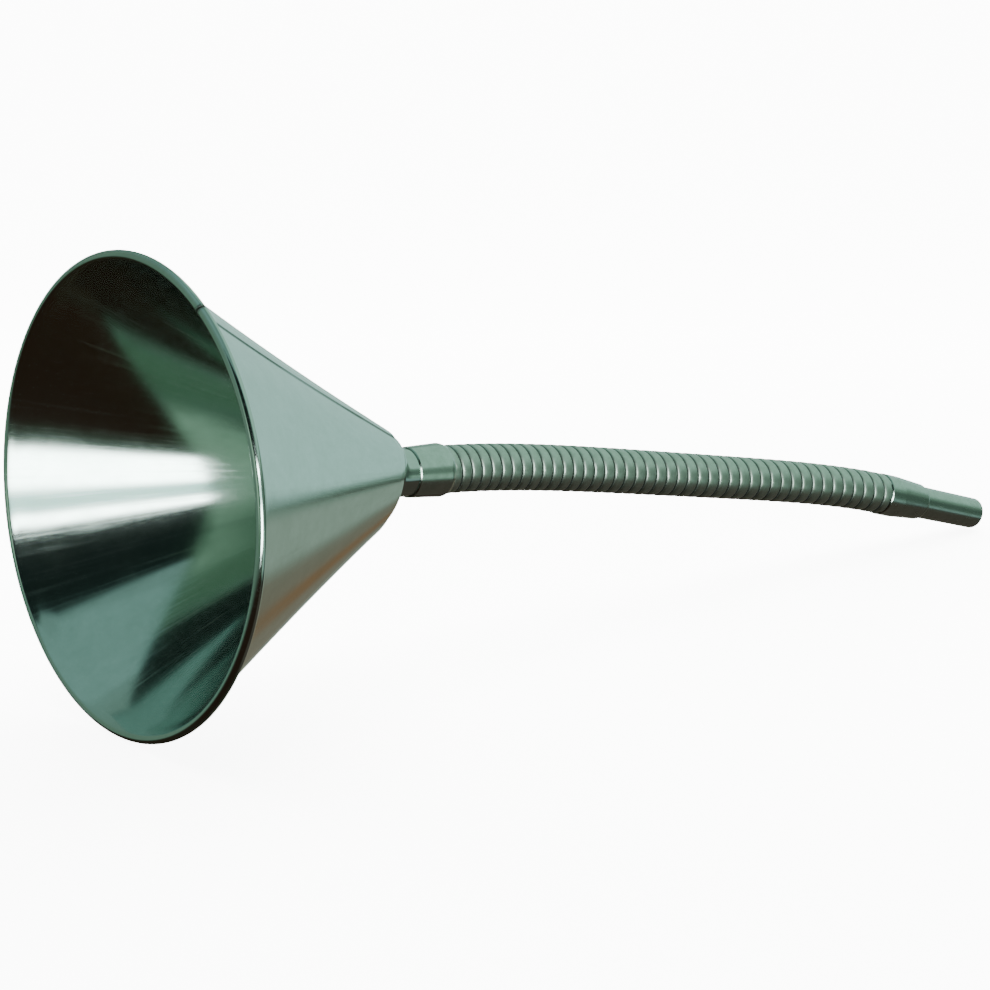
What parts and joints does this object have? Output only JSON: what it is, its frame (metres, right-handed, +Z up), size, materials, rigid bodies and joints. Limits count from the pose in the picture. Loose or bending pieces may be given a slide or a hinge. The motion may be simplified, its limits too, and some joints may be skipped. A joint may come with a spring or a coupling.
{
  "type": "funnel with flexible metal spout",
  "caption": "Conical sheet-metal funnel with a wired rim, a round shoulder and a bendable strip-wound metal hose ending in a tapered nozzle, for pouring fuel or oil.",
  "frame": {"origin": "middle of the bounding box's base, on the surface the funnel lies on", "axes": "+X level from the mouth towards the nozzle, +Y level across the funnel, +Z up"},
  "size_m": [0.4518, 0.159, 0.1586],
  "materials": {
    "tinplate": "bright tin-plated sheet, fairly glossy, faintly mottled",
    "steel_wire": "plain drawn wire",
    "plated_steel": "bright plated steel",
    "hose_strip": "plated strip, satin, darker in its grooves"
  },
  "bodies": {
    "funnel_body": {"funnel_cone": "tinplate", "rim_wire": "steel_wire", "throat_cup": "tinplate", "inlet_ferrule": "plated_steel", "hose_root": "hose_strip"},
    "link_01": {"hose_link_01": "hose_strip"},
    "link_02": {"hose_link_02": "hose_strip"},
    "link_03": {"hose_link_03": "hose_strip"},
    "link_04": {"hose_link_04": "hose_strip"},
    "link_05": {"hose_link_05": "hose_strip"},
    "link_06": {"hose_link_06": "hose_strip"},
    "link_07": {"hose_link_07": "hose_strip"},
    "link_08": {"hose_link_08": "hose_strip"},
    "link_09": {"hose_link_09": "hose_strip"},
    "link_10": {"hose_link_10": "hose_strip"},
    "link_11": {"hose_link_11": "hose_strip"},
    "link_12": {"hose_link_12": "hose_strip"},
    "link_13": {"hose_link_13": "hose_strip"},
    "link_14": {"hose_link_14": "hose_strip"},
    "link_15": {"hose_link_15": "hose_strip"},
    "link_16": {"hose_link_16": "hose_strip"},
    "link_17": {"hose_link_17": "hose_strip"},
    "link_18": {"hose_link_18": "hose_strip"},
    "link_19": {"hose_link_19": "hose_strip"},
    "link_20": {"hose_link_20": "hose_strip"},
    "nozzle_body": {"hose_tip": "hose_strip", "outlet_ferrule": "plated_steel", "nozzle": "plated_steel"}
  },
  "joints": [
    {"name": "bend_down_01", "type": "hinge", "parent": "funnel_body", "child": "link_01", "pos_m": [-0.08232, 0, 0.06954], "axis": [0.0081, 1, -0.0006], "range_deg": [-6, 6]},
    {"name": "bend_side_01", "type": "hinge", "parent": "link_01", "child": "link_02", "pos_m": [-0.07037, -0.0001, 0.06837], "axis": [0.1209, -0.0008, 0.9927], "range_deg": [-6, 6]},
    {"name": "bend_down_02", "type": "hinge", "parent": "link_02", "child": "link_03", "pos_m": [-0.05847, -0.00028, 0.06692], "axis": [0.0209, 0.9998, -0.0015], "range_deg": [-6, 6]},
    {"name": "bend_side_02", "type": "hinge", "parent": "link_03", "child": "link_04", "pos_m": [-0.04658, -0.00053, 0.06525], "axis": [0.1533, -0.0021, 0.9882], "range_deg": [-6, 6]},
    {"name": "bend_down_03", "type": "hinge", "parent": "link_04", "child": "link_05", "pos_m": [-0.03473, -0.00084, 0.06341], "axis": [0.0285, 0.9996, -0.002], "range_deg": [-6, 6]},
    {"name": "bend_side_03", "type": "hinge", "parent": "link_05", "child": "link_06", "pos_m": [-0.0229, -0.00118, 0.06144], "axis": [0.1712, -0.0031, 0.9852], "range_deg": [-6, 6]},
    {"name": "bend_down_04", "type": "hinge", "parent": "link_06", "child": "link_07", "pos_m": [-0.01108, -0.00155, 0.05939], "axis": [0.0324, 0.9995, -0.0023], "range_deg": [-6, 6]},
    {"name": "bend_side_04", "type": "hinge", "parent": "link_07", "child": "link_08", "pos_m": [0.00073, -0.00193, 0.05727], "axis": [0.1789, -0.0036, 0.9839], "range_deg": [-6, 6]},
    {"name": "bend_down_05", "type": "hinge", "parent": "link_08", "child": "link_09", "pos_m": [0.01253, -0.00233, 0.05512], "axis": [0.0337, 0.9994, -0.0024], "range_deg": [-6, 6]},
    {"name": "bend_side_05", "type": "hinge", "parent": "link_09", "child": "link_10", "pos_m": [0.02432, -0.00273, 0.05296], "axis": [0.1808, -0.0037, 0.9835], "range_deg": [-6, 6]},
    {"name": "bend_down_06", "type": "hinge", "parent": "link_10", "child": "link_11", "pos_m": [0.03612, -0.00314, 0.05079], "axis": [0.0339, 0.9994, -0.0024], "range_deg": [-6, 6]},
    {"name": "bend_side_06", "type": "hinge", "parent": "link_11", "child": "link_12", "pos_m": [0.04791, -0.00354, 0.04862], "axis": [0.181, -0.0038, 0.9835], "range_deg": [-6, 6]},
    {"name": "bend_down_07", "type": "hinge", "parent": "link_12", "child": "link_13", "pos_m": [0.05971, -0.00395, 0.04645], "axis": [0.0342, 0.9994, -0.0024], "range_deg": [-6, 6]},
    {"name": "bend_side_07", "type": "hinge", "parent": "link_13", "child": "link_14", "pos_m": [0.0715, -0.00436, 0.04427], "axis": [0.1838, -0.004, 0.983], "range_deg": [-6, 6]},
    {"name": "bend_down_08", "type": "hinge", "parent": "link_14", "child": "link_15", "pos_m": [0.08329, -0.00477, 0.04206], "axis": [0.036, 0.9993, -0.0026], "range_deg": [-6, 6]},
    {"name": "bend_side_08", "type": "hinge", "parent": "link_15", "child": "link_16", "pos_m": [0.09507, -0.0052, 0.03981], "axis": [0.1935, -0.0047, 0.9811], "range_deg": [-6, 6]},
    {"name": "bend_down_09", "type": "hinge", "parent": "link_16", "child": "link_17", "pos_m": [0.10683, -0.00566, 0.03749], "axis": [0.0406, 0.9992, -0.0029], "range_deg": [-6, 6]},
    {"name": "bend_side_09", "type": "hinge", "parent": "link_17", "child": "link_18", "pos_m": [0.11857, -0.00614, 0.03506], "axis": [0.2141, -0.0064, 0.9768], "range_deg": [-6, 6]},
    {"name": "bend_down_10", "type": "hinge", "parent": "link_18", "child": "link_19", "pos_m": [0.13028, -0.00667, 0.03249], "axis": [0.0495, 0.9988, -0.0035], "range_deg": [-6, 6]},
    {"name": "bend_side_10", "type": "hinge", "parent": "link_19", "child": "link_20", "pos_m": [0.14195, -0.00726, 0.02973], "axis": [0.2497, -0.0101, 0.9683], "range_deg": [-6, 6]},
    {"name": "bend_down_11", "type": "hinge", "parent": "link_20", "child": "nozzle_body", "pos_m": [0.15355, -0.00792, 0.02673], "axis": [0.064, 0.9979, -0.0046], "range_deg": [-6, 6]}
  ],
  "couplings": [
    {"joint": "bend_down_02", "follows": "bend_down_01", "ratio": 1},
    {"joint": "bend_side_02", "follows": "bend_side_01", "ratio": 1},
    {"joint": "bend_down_03", "follows": "bend_down_01", "ratio": 1},
    {"joint": "bend_side_03", "follows": "bend_side_01", "ratio": 1},
    {"joint": "bend_down_04", "follows": "bend_down_01", "ratio": 1},
    {"joint": "bend_side_04", "follows": "bend_side_01", "ratio": 1},
    {"joint": "bend_down_05", "follows": "bend_down_01", "ratio": 1},
    {"joint": "bend_side_05", "follows": "bend_side_01", "ratio": 1},
    {"joint": "bend_down_06", "follows": "bend_down_01", "ratio": 1},
    {"joint": "bend_side_06", "follows": "bend_side_01", "ratio": 1},
    {"joint": "bend_down_07", "follows": "bend_down_01", "ratio": 1},
    {"joint": "bend_side_07", "follows": "bend_side_01", "ratio": 1},
    {"joint": "bend_down_08", "follows": "bend_down_01", "ratio": 1},
    {"joint": "bend_side_08", "follows": "bend_side_01", "ratio": 1},
    {"joint": "bend_down_09", "follows": "bend_down_01", "ratio": 1},
    {"joint": "bend_side_09", "follows": "bend_side_01", "ratio": 1},
    {"joint": "bend_down_10", "follows": "bend_down_01", "ratio": 1},
    {"joint": "bend_side_10", "follows": "bend_side_01", "ratio": 1},
    {"joint": "bend_down_11", "follows": "bend_down_01", "ratio": 1}
  ]
}
